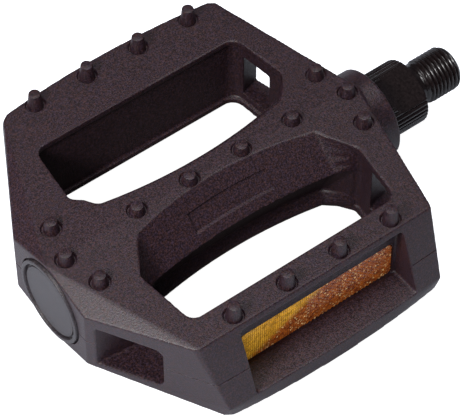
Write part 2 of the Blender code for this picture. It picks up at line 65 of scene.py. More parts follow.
# ---- cage (mm) ----
RAIL_Z = 12.2
RIDGE_Y, RIDGE_Z = 1.2, 13.3
REAR_Y, REAR_BOW = 48.6, 2.2
FRONT_Y = -41.7
LIP_Y, LIP_Z, LIP_BOW = -49.2, -8.3, 0.8
CORNER_X = 33.6
OUT_X, OUT_Y, OUT_Z = -53.4, 15.4, 9.8
OUT_TOP = (-53.2, 1.2, 13.4)
FRONT_OUT = (-38.8, 11.9)
IN_X, IN_SLOPE = 45.0, 0.217

RAIL_WALL_Y = -33.8
WINDOW_CORNERS_RAIL = ((-33.8, 3.2), (30.2, 3.6))
WINDOW_WIDEST = ((-36.1, -15.4, 2.0), (32.5, -16.0, 2.0))
HUB_CORNER_X = (-29.0, 27.0)
EDGE_CORNER_X, EDGE_CORNER_R = (-31.0, 26.6), (4.0, 2.2)
HUB_ARC_X = -2.0
HUB_CREST = (-0.7, 13.2)
HUB_LEDGE = (-11.1, 3.7)
HUB_FOOT = (-6.0, -6.6)
EDGE_BOW = 0.0036
HUB_BEAD = ((-7.2, -6.3), (-8.2, -7.0), (-9.1, -7.75), (-9.9, -8.05), (-10.5, -7.95))
HUB_UNDER_Y = -5.8
UNDERCUT = 0.8
LIP_TOP = 10.6

TUNNEL_OUT = ((-52.6, -17.6, 0.4), (-44.4, -33.9, 0.4), (-32.0, -30.5, 0.4), (-33.0, -20.0, 0.4))
TUNNEL_IN = ((42.0, -19.4, 0.4), (38.6, -33.6, 0.4), (28.5, -30.3, 0.4), (31.0, -22.0, 0.4))
TUNNEL_OUT_Z, TUNNEL_IN_Z = (-8.0, 6.4), (-6.4, 8.4)
RECESS_HALF_X, RECESS_Z, RECESS_BACK_Y = 25.7, (-8.0, 10.4), -40.2
SEAT_HALF_X, SEAT_Z, SEAT_BACK_Y = 24.9, (-8.3, 4.2), -36.1

BOSS_R, BOSS_X = 12.8, 50.1
BORE = ((OUT_X - 3, 12.3), (-52.3, 12.3), (-52.3, 9.8), (-41.3, 9.8), (-41.3, 9.1),
        (-34.9, 9.1), (-34.9, 6.4), (37.3, 6.4), (37.3, 10.5), (BOSS_X + 3, 10.5))

# ---- studs (mm) ----
STUD_PITCH = 16.5
RAIL_STUD_Y = (46.9, -38.6)
UNDER_STUD_Y = (44.6, -38.6)
RAIL_TIP_Z, MID_TIP_Z, END_TIP_Z = 16.4, 15.1, 15.9
MID_STUD_Y = 1.7
END_STUDS = ((-45.2, 10.1), (-48.0, -0.3), (-45.1, -10.9),
             (39.3, 10.2), (42.0, 0.3), (39.0, -10.2))
MOAT_DEPTH, STUD_ROOT_R, STUD_TIP_R = 0.65, 2.15, 1.62

# ---- fine marks cut in the cage (mm) ----
GROOVE_DEPTH, GROOVE_HALF = 0.4, 0.17
PANEL_X, PANEL_Z, PANEL_DEPTH = (-14.0, 11.0), (5.9, 10.0), 0.9

# ---- axle (mm) ----
THREAD_R, THREAD_PITCH, THREAD_DEPTH = 12.7 / 2, 25.4 / 20, 0.72
THREAD_X0, AXLE_TIP_X, AXLE_END_X = 65.6, 77.0, -50.6
NECK_R, COLLAR_R, COLLAR_X0, COLLAR_X1 = 5.4, 9.35, 50.4, 63.0
COLLAR_RIBS, RIB_DEPTH = 40, 0.45
FLAT_HALF, FLAT_X0, FLAT_RUNOUT, FLAT_TILT = 7.5, 54.4, 3.2, math.radians(27)
JOURNAL_R, SHAFT_R_IN, SHAFT_R_OUT, END_THREAD_R = 8.2, 5.0, 4.4, 4.0
CONE_X = 41.0 + (25.4 / 16 + 0.3) * math.sqrt(2) - 7.1       # plus the radius
KEYWAY_HALF, KEYWAY_FLOOR, KEYWAY_X = 0.8, 3.2, -41.5

VOXEL = 0.3                       # remesh size of the cage
KEEP_FACES = 0.2                  # share of the cage's faces kept after the remesh
STUD_SEGMENTS = 40
CAP_SEGMENTS = 128
SHADE_EDGE = (0.045, 0.060)       # the floor's painted shadow near the pedal fades out here (m)
LENS_SLANT = -1.94                # lean of the border between the lens's two colours

# ---- lens (mm) ----
LENS_FACE_Y, LENS_BACK_Y, LENS_GAP = -40.0, -38.4, 0.3
LENS_COLUMN, LENS_ROW = 0.155, 0.2            # grid of the prismatic face
FLUTES_END_X = -3.0
FLUTE_PITCH, CUBE_PITCH = 0.62, 1.24

# ---- camera, looking at the stud grid's middle ----
CAMERA_AZIMUTH, CAMERA_ELEVATION, CAMERA_ROLL = -37.03, 51.57, -0.178      # degrees
CAMERA_DISTANCE, CAMERA_RIGHT, CAMERA_UP = 0.6811, 0.002609, -0.002150      # metres
CAMERA_LENS, CAMERA_SENSOR = 206.0, 36.0      # mm
FLOOR_HALF, FLOOR_DROP = 6.0, 0.0002          # metres


# ---------------------------------------------------------------- mesh helpers
def turned_over(point):
    x, y, z = point
    return (x, -y, -z)


def to_object(bm, name, turn_out=True):
    """Moves a mesh in millimetres into the frame and links it."""
    for vert in bm.verts:
        vert.co = (vert.co + Vector((GRID_X, 0, 0))) * MM
    if turn_out:
        bmesh.ops.recalc_face_normals(bm, faces=bm.faces)
    mesh = bpy.data.meshes.new(name)
    bm.to_mesh(mesh)
    bm.free()
    made = bpy.data.objects.new(name, mesh)
    SCENE.objects.link(made)
    return made


def bake_modifiers(obj):
    bpy.context.view_layer.update()
    graph = bpy.context.evaluated_depsgraph_get()
    result = bpy.data.meshes.new_from_object(obj.evaluated_get(graph))
    obj.modifiers.clear()
    old, obj.data = obj.data, result
    bpy.data.meshes.remove(old)


def boolean(obj, tool, operation="DIFFERENCE"):
    """Cuts or joins, keeps the result and removes the tool."""
    step = obj.modifiers.new("boolean", "BOOLEAN")
    step.operation, step.solver, step.object = operation, "EXACT", tool
    bake_modifiers(obj)
    bpy.data.meshes.remove(tool.data)


def loft(bm, rings):
    loops = [[bm.verts.new(point) for point in ring] for ring in rings]
    count = len(loops[0])
    for low, high in zip(loops, loops[1:]):
        for i in range(count):
            j = (i + 1) % count
            bm.faces.new((low[i], low[j], high[j], high[i]))
    bm.faces.new(loops[0][::-1])
    bm.faces.new(loops[-1])


def both_ways(name, rings):
    """A cutter and its copy turned over."""
    bm = bmesh.new()
    loft(bm, rings)
    loft(bm, [[turned_over(p) for p in ring] for ring in rings])
    return to_object(bm, name)


def rounded(corners, steps):
    """Plan points of a polygon whose corners (x, y, radius) are arcs of steps pieces."""
    points = []
    count = len(corners)
    for i, (x, y, radius) in enumerate(corners):
        here = Vector((x, y))
        if radius == 0:
            points.append((x, y))
            continue
        before = (Vector(corners[i - 1][:2]) - here).normalized()
        after = (Vector(corners[(i + 1) % count][:2]) - here).normalized()
        half = before.angle(after) / 2
        centre = here + (before + after).normalized() * (radius / math.sin(half))
        reach = radius / math.tan(half)
        start = here + before * reach - centre
        sweep = start.angle_signed(here + after * reach - centre)
        for k in range(steps + 1):
            points.append(tuple(centre + Matrix.Rotation(-sweep * k / steps, 2) @ start))
    return points


def lathe(bm, profile, segments, radius_at=None):
    """A solid turned about X from (x, radius) points, closed at both ends."""
    loops = []
    for x, radius in profile:
        ring = []
        for k in range(segments):
            angle = math.tau * k / segments
            r = radius_at(x, radius, angle) if radius_at else radius
            ring.append((x, r * math.cos(angle), r * math.sin(angle)))
        loops.append(ring)
    loft(bm, loops)


def smooth(obj, angle=35):
    obj.data.shade_smooth()
    obj.data.set_sharp_from_angle(angle=math.radians(angle))


def finish_piece(obj, body, slot, material, *nodes):
    obj.data.materials.clear()
    obj.data.materials.append(material)
    if nodes:
        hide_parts(*nodes)
    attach(obj, body)


# ---------------------------------------------------------------- materials
class Tree:
    """Short calls for a node material."""

    def __init__(self, name):
        self.material = bpy.data.materials.new(name)
        self.material.use_nodes = True
        self.nodes = self.material.node_tree.nodes
        self.shader = self.nodes["Principled BSDF"]
        self.place = self.add("ShaderNodeTexCoord").outputs["Object"]

    def add(self, kind, inputs=(), **settings):
        node = self.nodes.new(kind)
        for key, value in settings.items():
            setattr(node, key, value)
        for key, value in dict(inputs).items():
            self.put(node, key, value)
        return node

    def put(self, node, key, value):
        if isinstance(value, bpy.types.NodeSocket):
            self.material.node_tree.links.new(value, node.inputs[key])
        else:
            node.inputs[key].default_value = value

    def set(self, **inputs):
        for key, value in inputs.items():
            self.put(self.shader, key.replace("_", " "), value)

    def noise(self, scale, detail=3.0, roughness=0.55):
        return self.add("ShaderNodeTexNoise", {
            "Vector": self.place, "Scale": scale, "Detail": detail,
            "Roughness": roughness}).outputs["Fac"]

    def ramp(self, value, *stops):
        node = self.add("ShaderNodeValToRGB", {"Fac": value})
        ramp = node.color_ramp
        while len(ramp.elements) < len(stops):
            ramp.elements.new(0.5)
        for element, (position, colour) in zip(ramp.elements, stops):
            element.position = position
            element.color = (*colour, 1.0) if len(colour) == 3 else (colour[0],) * 3 + (1.0,)
        return node.outputs["Color"]

    def mix(self, factor, a, b, blend="MIX"):
        node = self.add("ShaderNodeMix", data_type="RGBA", blend_type=blend)
        for index, value in ((0, factor), (6, a), (7, b)):
            self.put(node, index, value)
        return node.outputs[2]

    def bump(self, height, distance, strength=1.0):
        return self.add("ShaderNodeBump", {
            "Height": height, "Distance": distance, "Strength": strength}).outputs["Normal"]


def moulded_plastic(name, brown, violet, roughness, grain):
    """Near-black moulded plastic with visible spark-eroded grain of slightly mixed hue."""
    tree = Tree(name)
    clouds = tree.noise(1500.0, 2.0, 0.7)
    grains = tree.noise(2300.0, 2.0, 0.8)
    tone = tree.ramp(clouds, (0.40, brown), (0.60, violet))
    speck = tree.ramp(grains, (0.36, (0.30,)), (0.50, (0.90,)), (0.66, (2.1,)))
    tree.set(Base_Color=tree.mix(1.0, tone, speck, "MULTIPLY"), Metallic=0.0, IOR=1.46)
    tree.put(tree.shader, "Roughness", tree.ramp(
        grains, (0.3, (roughness - 0.08,)), (0.7, (roughness + 0.12,))))
    tree.put(tree.shader, "Normal", tree.bump(grains, grain, 1.0))
    return tree.material


def black_oxide():
    tree = Tree("axle_black_oxide")
    clouds = tree.noise(1600.0, 3.0)
    tone = tree.ramp(clouds, (0.3, (0.004, 0.002, 0.002)), (0.7, (0.013, 0.008, 0.008)))
    tree.set(Base_Color=tone, Metallic=0.0, IOR=1.5)
    tree.put(tree.shader, "Roughness", tree.ramp(clouds, (0.3, (0.2,)), (0.7, (0.27,))))
    lines = tree.add("ShaderNodeTexWave", {
        "Vector": tree.place, "Scale": 900.0, "Distortion": 1.5, "Detail": 2.0},
        bands_direction="X").outputs["Fac"]
    tree.put(tree.shader, "Normal", tree.bump(lines, 0.00003, 0.25))
    return tree.material


def bearing_steel():
    tree = Tree("bearing_steel")
    grey = tree.noise(300.0)
    tree.set(Base_Color=tree.ramp(grey, (0.3, (0.42, 0.42, 0.43)), (0.7, (0.62, 0.62, 0.63))),
             Metallic=1.0)
    tree.put(tree.shader, "Roughness", tree.ramp(grey, (0.3, (0.18,)), (0.7, (0.34,))))
    return tree.material


def amber():
    """Clear amber acrylic, fluted at one end and with cube corners at the other. The fluted end is
    golden, and its brightness and the stripes along its flutes are a painted sheen. The red-brown
    other end, which also runs along the lower edge, carries bright prism specks that are painted
    glints. A faint emission makes the lens glow a little."""
    tree = Tree("amber_prisms")
    cells = tree.add("ShaderNodeTexVoronoi", {"Vector": tree.place, "Scale": 1150.0})
    chance = tree.add("ShaderNodeRGBToBW", {"Color": cells.outputs["Color"]}).outputs["Val"]
    # painted glints: scattered bright prism specks for the red-brown part
    prism_glints = tree.mix(1.0, tree.ramp(cells.outputs["Distance"], (0.22, (1.0,)), (0.46, (0.0,))),
                    tree.ramp(chance, (0.34, (0.0,)), (0.50, (1.0,))), "MULTIPLY")
    place = tree.add("ShaderNodeSeparateXYZ", {"Vector": tree.place})
    flutes = tree.add("ShaderNodeTexWave", {
        "Vector": tree.place, "Scale": 480.0, "Distortion": 0.6},
        bands_direction="X").outputs["Fac"]
    cloudy = tree.noise(700.0)
    slant = tree.add("ShaderNodeMath", {
        0: place.outputs["Z"], 1: LENS_SLANT, 2: place.outputs["X"]}, operation="MULTIPLY_ADD")
    edge = tree.add("ShaderNodeMath", {
        0: cloudy, 1: 0.012, 2: slant.outputs[0]}, operation="MULTIPLY_ADD")
    side = tree.add("ShaderNodeMapRange", {
        "Value": edge.outputs[0], "From Min": -0.0135, "From Max": -0.0085}).outputs["Result"]
    # the fluted zone's golden tone: a real prism zone whose brightness and flute stripes are a
    # painted sheen
    gold_and_sheen = tree.mix(1.0, tree.ramp(flutes, (0.2, (0.60, 0.26, 0.010)), (0.8, (0.95, 0.50, 0.045))),
                    tree.ramp(cloudy, (0.35, (0.62,)), (0.65, (1.25,))), "MULTIPLY")
    brown = tree.ramp(cloudy, (0.36, (0.16, 0.028, 0.006)), (0.64, (0.48, 0.12, 0.015)))
    # the painted glints in light amber over the red-brown
    red = tree.mix(prism_glints, brown, (1.0, 0.62, 0.26, 1.0))
    colour = tree.mix(side, gold_and_sheen, red)
    # painted glow: the lens emits its own colour a little, though it is no lamp
    tree.set(Base_Color=colour, IOR=1.49, Coat_Weight=0.4, Coat_Roughness=0.08,
             Emission_Strength=0.16)
    tree.put(tree.shader, "Emission Color", colour)
    tree.put(tree.shader, "Roughness", tree.ramp(chance, (0.2, (0.2,)), (0.8, (0.42,))))
    return tree.material


def plain_noise(name, dark, light, roughness, scale=400.0):
    tree = Tree(name)
    cloud = tree.noise(scale)
    tree.set(Base_Color=tree.ramp(cloud, (0.3, dark), (0.7, light)))
    tree.put(tree.shader, "Roughness", tree.ramp(
        cloud, (0.3, (roughness - 0.08,)), (0.7, (roughness + 0.08,))))
    tree.put(tree.shader, "Normal", tree.bump(cloud, 0.00005, 0.3))
    return tree.material


# ---------------------------------------------------------------- cage
def cage_corners():
    points = [OUT_TOP, (OUT_X, OUT_Y, OUT_Z), (OUT_X, -OUT_Y, OUT_Z)]
    for k in range(25):
        x = (CORNER_X - 1.2) * (k - 12) / 12
        points.append((x, REAR_Y + REAR_BOW * (1 - (x / CORNER_X) ** 2), RAIL_Z))
    for x in (-CORNER_X - 0.9, CORNER_X + 0.8):
        points.append((x, REAR_Y - 1.2, RAIL_Z - 0.1))
    points.append((FRONT_OUT[0], FRONT_Y + 1.0, FRONT_OUT[1]))
    points.append((FRONT_OUT[0] + 1.2, FRONT_Y, RAIL_Z))
    points.append((IN_X + IN_SLOPE * FRONT_Y - 0.6, FRONT_Y, RAIL_Z))
    points.append((IN_X + IN_SLOPE * FRONT_Y, FRONT_Y + 1.4, RAIL_Z))
    points.append((IN_X, RIDGE_Y, RIDGE_Z))
    points.append((IN_X, -RIDGE_Y, RIDGE_Z - 0.1))
    for k in range(9):
        x = (CORNER_X + 0.3) * (k - 4) / 4
        points.append((x, LIP_Y - LIP_BOW * (1 - (x / CORNER_X) ** 2), LIP_Z))
    return points


def cage_blank():
    bm = bmesh.new()
    upper = cage_corners()
    for point in upper + [turned_over(p) for p in upper]:
        bm.verts.new(point)
    hull = bmesh.ops.convex_hull(bm, input=bm.verts)
    loose = {item for item in hull["geom_interior"] + hull["geom_unused"]
             if isinstance(item, bmesh.types.BMVert)}
    bmesh.ops.delete(bm, geom=list(loose), context="VERTS")
    return to_object(bm, "cage_moulding")


def hub_side(z):
    """y of the hub wall in the front window at height z, its bow and its outboard radius."""
    crest_y, crest_z = HUB_CREST
    ledge_y, ledge_z = HUB_LEDGE
    if z >= ledge_z:
        share = (crest_z - z) / (crest_z - ledge_z)
        bow = 0.0052 - 0.0022 * min(share, 1.0)
        return crest_y + share * (ledge_y - crest_y), bow, 3.0 + 11.0 * max(share, 0.0)
    foot_y, foot_z = HUB_FOOT
    share = (ledge_z - z) / (ledge_z - foot_z)
    return ledge_y + UNDERCUT + share * (foot_y - ledge_y - UNDERCUT), 0.003, 6.0


def window_ring(z, side, back, ends=HUB_CORNER_X, radius_in=1.4, steps=8, pieces=20):
    """The front window's outline at height z; back moves its rail and end walls out."""
    hub_y, bow, radius_out = side
    end_out, end_in = ends
    (rail_out, r_out), (rail_in, r_in) = WINDOW_CORNERS_RAIL
    wide_out, wide_in = WINDOW_WIDEST

    def hub_at(x):
        return hub_y - bow * (x - HUB_ARC_X) ** 2

    def step_end(wide, x):
        """Where the undercut's step ends, on the way from the widest corner to the hub."""
        return (wide[0] + 0.14 * (x - wide[0]), wide[1] + 0.14 * (hub_at(x) - wide[1]), 0)

    arc = [end_in + (end_out - end_in) * k / pieces for k in range(pieces + 1)]
    corners = [
        (rail_out - back, RAIL_WALL_Y - back, r_out),
        (rail_in + back, RAIL_WALL_Y - back, r_in),
        (wide_in[0] + back, wide_in[1], wide_in[2]),
        step_end(wide_in, arc[0]),
        (arc[0], hub_at(arc[0]), radius_in),
        *[(x, hub_at(x), 0) for x in arc[2:-2]],
        (arc[-1], hub_at(arc[-1]), radius_out),
        step_end(wide_out, arc[-1]),
        (wide_out[0] - back, wide_out[1], wide_out[2]),
    ]
    return [(x, y, z) for x, y in rounded(corners, steps)]


def window_rings():
    past = RIDGE_Z + 2.5
    ledge, foot = HUB_LEDGE[1], HUB_FOOT[1]
    rings = [window_ring(z, hub_side(z), back) for z, back in (
        (past, 0), (11.9, 0), (LIP_TOP + 0.15, 0), (LIP_TOP - 0.15, UNDERCUT), (8.5, UNDERCUT),
        (6.0, UNDERCUT), (ledge + 0.2, UNDERCUT), (ledge - 0.25, UNDERCUT), (foot, UNDERCUT))]
    bead_z, bead_y = HUB_BEAD[-1]
    under = bead_y + (HUB_UNDER_Y - bead_y) * (past + bead_z) / (RIDGE_Z + bead_z)
    lower = [(z, y, UNDERCUT) for z, y in HUB_BEAD]
    lower += [(bead_z - 0.3, bead_y + 0.1, 0), (-past, under, 0)]
    for z, y, back in lower:
        rings.append(window_ring(z, (y, EDGE_BOW, EDGE_CORNER_R[0]), back, EDGE_CORNER_X,
                                 EDGE_CORNER_R[1]))
    return rings


def tunnel_rings(plan, heights, corner=0.0):
    """Level slices of a tunnel; its far wall meets floor and roof in arcs of radius corner."""
    low, high = heights
    arc = [math.pi / 2 * k / 6 for k in range(7)] if corner else [math.pi / 2]
    slices = [(corner * (1 - math.cos(a)), corner * (1 - math.sin(a))) for a in arc]
    levels = ([(low + rise, inset) for rise, inset in slices]
              + [(high - rise, inset) for rise, inset in slices[::-1]])
    near_a, far_a, far_b, near_b = plan
    rings = []
    for z, inset in levels:
        pulled = [near_a, (far_a[0], far_a[1] + inset, far_a[2]),
                  (far_b[0], far_b[1] + inset, far_b[2]), near_b]
        rings.append([(x, y, z) for x, y in rounded(pulled, 3)])
    return rings


def recess_rings(half_x, heights, back_y, front_y, radius):
    """A box let into the front face, with rounded corners."""
    low, high = heights
    corners = [(-half_x, low, 0.6), (half_x, low, 0.6), (half_x, high, radius),
               (-half_x, high, radius)]
    return [[(x, y, z) for x, z in rounded(corners, 6)] for y in (back_y, front_y)]


def top_z(y):
    """Height of the upper tread, a shallow roof over the axle."""
    run = (REAR_Y - RIDGE_Y) if y > RIDGE_Y else (RIDGE_Y - FRONT_Y)
    return RIDGE_Z - (RIDGE_Z - RAIL_Z) * abs(y - RIDGE_Y) / run


def studs(under):
    """Every stud of one tread as (x, y, tip z), the lower one not yet turned over."""
    rows = [STUD_PITCH * (k - 1.5) for k in range(4)]
    made = [(x, y, RAIL_TIP_Z) for y in (UNDER_STUD_Y if under else RAIL_STUD_Y) for x in rows]
    made += [(x, MID_STUD_Y, MID_TIP_Z) for x in rows]
    return made + [(x, y, END_TIP_Z) for x, y in END_STUDS]


def upright(bm, x, y, levels, segments, flip):
    """A turned solid about a vertical line, from (z, radius) levels."""
    rings = []
    for z, radius in levels:
        ring = []
        for k in range(segments):
            angle = math.tau * k / segments
            point = (x + radius * math.cos(angle), y + radius * math.sin(angle), z)
            ring.append(turned_over(point) if flip else point)
        rings.append(ring)
    loft(bm, rings)


def parting_groove(blank):
    """A V groove round the outside at mid height, where the halves of the mould met."""
    section = bmesh.new()
    section.from_mesh(blank.data)
    cut = bmesh.ops.bisect_plane(
        section, geom=section.verts[:] + section.edges[:] + section.faces[:],
        plane_co=(0, 0, 0), plane_no=(0, 0, 1))["geom_cut"]
    corners = {(round(v.co.x / MM - GRID_X, 2), round(v.co.y / MM, 2))
               for v in cut if isinstance(v, bmesh.types.BMVert)}
    section.free()
    corners = sorted(corners, key=lambda point: math.atan2(point[1], point[0]))
    reach = 0.4
    half = GROOVE_HALF * (GROOVE_DEPTH + reach) / GROOVE_DEPTH
    bm = bmesh.new()
    rings = []
    for i, (x, y) in enumerate(corners):
        (x0, y0), (x1, y1) = corners[i - 1], corners[(i + 1) % len(corners)]
        out = Vector((y1 - y0, x0 - x1, 0)).normalized()
        here = Vector((x, y, 0))
        rings.append([bm.verts.new(p) for p in (
            here - out * GROOVE_DEPTH, here + out * reach + Vector((0, 0, half)),
            here + out * reach - Vector((0, 0, half)))])
    for i, low in enumerate(rings):
        high = rings[(i + 1) % len(rings)]
        for k in range(3):
            j = (k + 1) % 3
            bm.faces.new((low[k], low[j], high[j], high[k]))
    tool = to_object(bm, "parting_groove")
    bm = bmesh.new()
    lathe(bm, [(IN_X - 12, BOSS_R), (BOSS_X + 3, BOSS_R)], 48)
    boolean(tool, to_object(bm, "boss_keep"))
    return tool


def panel_rings():
    """A shallow plate let into the hub's slope, following its bow."""
    low, high = PANEL_Z
    rings = []
    for k in range(13):
        x = PANEL_X[0] + (PANEL_X[1] - PANEL_X[0]) * k / 12
        ring = []
        for z, inward in ((low, PANEL_DEPTH), (high, PANEL_DEPTH), (high, -2.0), (low, -2.0)):
            y, bow, _ = hub_side(z)
            ring.append((x, y - bow * (x - HUB_ARC_X) ** 2 + inward, z))
        rings.append(ring)
    return rings


def make_cage(material):
    cage = cage_blank()
    groove = parting_groove(cage)
    bm = bmesh.new()
    lathe(bm, [(IN_X - 12, BOSS_R), (BOSS_X - 0.3, BOSS_R), (BOSS_X, BOSS_R - 0.3)], 96)
    boolean(cage, to_object(bm, "boss"), "UNION")
    boolean(cage, both_ways("windows", window_rings()))
    boolean(cage, both_ways("tunnels_outboard", tunnel_rings(TUNNEL_OUT, TUNNEL_OUT_Z, 2.2)))
    boolean(cage, both_ways("tunnels_inboard", tunnel_rings(TUNNEL_IN, TUNNEL_IN_Z)))
    boolean(cage, both_ways("recesses", recess_rings(
        RECESS_HALF_X, RECESS_Z, RECESS_BACK_Y, LIP_Y - 6, 1.2)))
    boolean(cage, both_ways("seats", recess_rings(
        SEAT_HALF_X, SEAT_Z, SEAT_BACK_Y, RECESS_BACK_Y - 0.5, 2.4)))
    bm = bmesh.new()
    lathe(bm, BORE, 96)
    boolean(cage, to_object(bm, "bore"))

    remesh = cage.modifiers.new("remesh", "REMESH")
    remesh.mode, remesh.voxel_size = "VOXEL", VOXEL * MM
    soften = cage.modifiers.new("soften", "SMOOTH")
    soften.factor, soften.iterations = 0.5, 3
    thin = cage.modifiers.new("thin", "DECIMATE")
    thin.ratio = KEEP_FACES
    bake_modifiers(cage)
    boolean(cage, groove)
    boolean(cage, both_ways("panels", panel_rings()))

    moats, posts = bmesh.new(), bmesh.new()
    for flip in (False, True):
        for x, y, tip in studs(flip):
            top = top_z(y)
            floor = top - MOAT_DEPTH
            upright(moats, x, y, ((floor, 2.5), (top - 0.1, 2.75), (top + 0.1, 2.98),
                                  (top + 2, 4.8)), STUD_SEGMENTS, flip)
            upright(posts, x, y, (
                (floor - 0.5, STUD_ROOT_R + 0.15), (floor + 0.25, STUD_ROOT_R),
                (tip - 0.13, STUD_TIP_R), (tip - 0.04, STUD_TIP_R - 0.04),
                (tip, STUD_TIP_R - 0.15)), STUD_SEGMENTS, flip)
    boolean(cage, to_object(moats, "moats", False))
    boolean(cage, to_object(posts, "posts", False), "UNION")
    smooth(cage, 32)
    finish_piece(cage, "cage", "cage_plastic", material, "cage")


# ---------------------------------------------------------------- reflectors
def wave(value):
    """A triangle wave from 0 to 1."""
    return abs(2 * (value % 1.0) - 1)


def make_lens(word, front, material):
    """Prismatic lens: upright flutes on one part and cube corners on the other."""
    z_low, z_high = SEAT_Z[0] + LENS_GAP, SEAT_Z[1] - LENS_GAP
    half = SEAT_HALF_X - LENS_GAP
    columns = int(2 * half / LENS_COLUMN) + 1
    rows = int((z_high - z_low) / LENS_ROW) + 1
    bm = bmesh.new()
    grid = []
    for i in range(columns + 1):
        x = -half + 2 * half * i / columns
        line = []
        for j in range(rows + 1):
            z = z_low + (z_high - z_low) * j / rows
            if x < FLUTES_END_X:
                depth = 0.15 * wave(x / FLUTE_PITCH) + 0.04 * wave(z / 1.6)
            else:
                depth = 0.12 * (wave((x + z) / CUBE_PITCH) + wave((x - z) / CUBE_PITCH))
            line.append(bm.verts.new((x, LENS_FACE_Y + depth, z)))
        grid.append(line)
    for i in range(columns):
        for j in range(rows):
            bm.faces.new((grid[i][j], grid[i + 1][j], grid[i + 1][j + 1], grid[i][j + 1]))
    rim = ([grid[i][0] for i in range(columns)] + [grid[columns][j] for j in range(rows)]
           + [grid[i][rows] for i in range(columns, 0, -1)]
           + [grid[0][j] for j in range(rows, 0, -1)])
    back = [bm.verts.new((v.co.x, LENS_BACK_Y, v.co.z)) for v in rim]
    for i in range(len(rim)):
        j = (i + 1) % len(rim)
        bm.faces.new((rim[i], rim[j], back[j], back[i]))
    bm.faces.new(back)
    lens = to_object(bm, f"lens_{word}")
    bm = bmesh.new()
    corners = [(-half, z_low, 0.8), (half, z_low, 0.8), (half, z_high, 2.0), (-half, z_high, 3.0)]
    loft(bm, [[(x, y, z) for x, z in rounded(corners, 8)]
              for y in (LENS_FACE_Y - 1, LENS_BACK_Y + 1)])
    boolean(lens, to_object(bm, "lens_outline"), "INTERSECT")
    if not front:
        for vert in lens.data.vertices:
            vert.co = turned_over(vert.co)
    smooth(lens, 12)
    finish_piece(lens, "cage", "lens_amber", material, f"reflector_{word}_lens")


# ---------------------------------------------------------------- axle and cap
def rib_radius(x, radius, angle):
    """Collar radius with rounded ribs, then limited by the two spanner flats."""
    if not COLLAR_X0 <= x <= COLLAR_X1:
        return radius
    ease = min(1.0, (x - COLLAR_X0) / 0.8, (COLLAR_X1 - x) / 0.9)
    rib = 0.5 + 0.5 * math.cos(angle * COLLAR_RIBS)
    radius -= RIB_DEPTH * (1 - math.sqrt(rib)) * max(ease, 0.0)
    across = abs(math.sin(angle - FLAT_TILT))
    if x > FLAT_X0 - FLAT_RUNOUT and across > 0.5:
        share = min(1.0, (x - FLAT_X0 + FLAT_RUNOUT) / FLAT_RUNOUT)
        start = COLLAR_R - RIB_DEPTH / 2
        limit = start + (FLAT_HALF - start) * share
        radius = min(radius, limit / across)
    return radius


def thread_radius(x, angle):
    """Left-hand thread with rounded crests."""
    phase = (x / THREAD_PITCH + angle / math.tau) % 1.0
    crest = math.sin(math.pi * (1 - abs(2 * phase - 1)) / 2)
    fade = min(1.0, (x - THREAD_X0) / (1.6 * THREAD_PITCH), (AXLE_TIP_X - 0.3 - x) / 0.9)
    return THREAD_R - THREAD_DEPTH + THREAD_DEPTH * crest * max(fade, 0.0)


def axle_radius(x, radius, angle):
    if THREAD_X0 <= x < AXLE_TIP_X - 0.3:
        return thread_radius(x, angle)
    radius = rib_radius(x, radius, angle)
    y, z = radius * math.cos(angle), radius * math.sin(angle)
    if x < KEYWAY_X and z > 0 and abs(y) < KEYWAY_HALF:
        return min(radius, math.hypot(y, KEYWAY_FLOOR))
    return radius


def make_axle(material):
    profile = [
        (AXLE_END_X, END_THREAD_R - 0.5), (AXLE_END_X + 0.5, END_THREAD_R),
        (KEYWAY_X - 0.1, END_THREAD_R), (KEYWAY_X, END_THREAD_R),
        (-35.6, END_THREAD_R), (-34.8, SHAFT_R_OUT), (-20, SHAFT_R_OUT), (36, SHAFT_R_IN),
        (CONE_X + SHAFT_R_IN, SHAFT_R_IN), (CONE_X + JOURNAL_R, JOURNAL_R),
        (COLLAR_X0 - 0.05, JOURNAL_R), (COLLAR_X0, JOURNAL_R + 0.6),
        (COLLAR_X0 + 0.25, COLLAR_R - 0.15),
        (COLLAR_X0 + 0.5, COLLAR_R), (COLLAR_X0 + 0.9, COLLAR_R)]
    profile += [(FLAT_X0 - FLAT_RUNOUT + FLAT_RUNOUT * k / 10, COLLAR_R) for k in range(11)]
    profile += [(FLAT_X0 + 2, COLLAR_R), (58.5, COLLAR_R), (60.5, COLLAR_R),
                (COLLAR_X1 - 0.8, COLLAR_R), (COLLAR_X1 - 0.5, COLLAR_R - 0.15),
                (COLLAR_X1 - 0.25, COLLAR_R - 0.5), (COLLAR_X1, COLLAR_R - 0.9),
                (COLLAR_X1 + 0.01, NECK_R + 0.5), (COLLAR_X1 + 0.2, NECK_R + 0.15),
                (COLLAR_X1 + 0.6, NECK_R), (THREAD_X0 - 0.3, NECK_R)]
    turns = (AXLE_TIP_X - 0.35 - THREAD_X0) / THREAD_PITCH
    count = int(turns * 12)
    profile += [(THREAD_X0 + k * THREAD_PITCH / 12, THREAD_R) for k in range(count + 1)]
    core = THREAD_R - THREAD_DEPTH
    profile += [(AXLE_TIP_X - 0.28, core), (AXLE_TIP_X - 0.1, core - 0.15),
                (AXLE_TIP_X, core - 0.5)]
    bm = bmesh.new()
    lathe(bm, profile, COLLAR_RIBS * 8, axle_radius)
    axle = to_object(bm, "axle_turned")
    smooth(axle, 22)
    finish_piece(axle, "axle", "axle_steel", material, "axle")


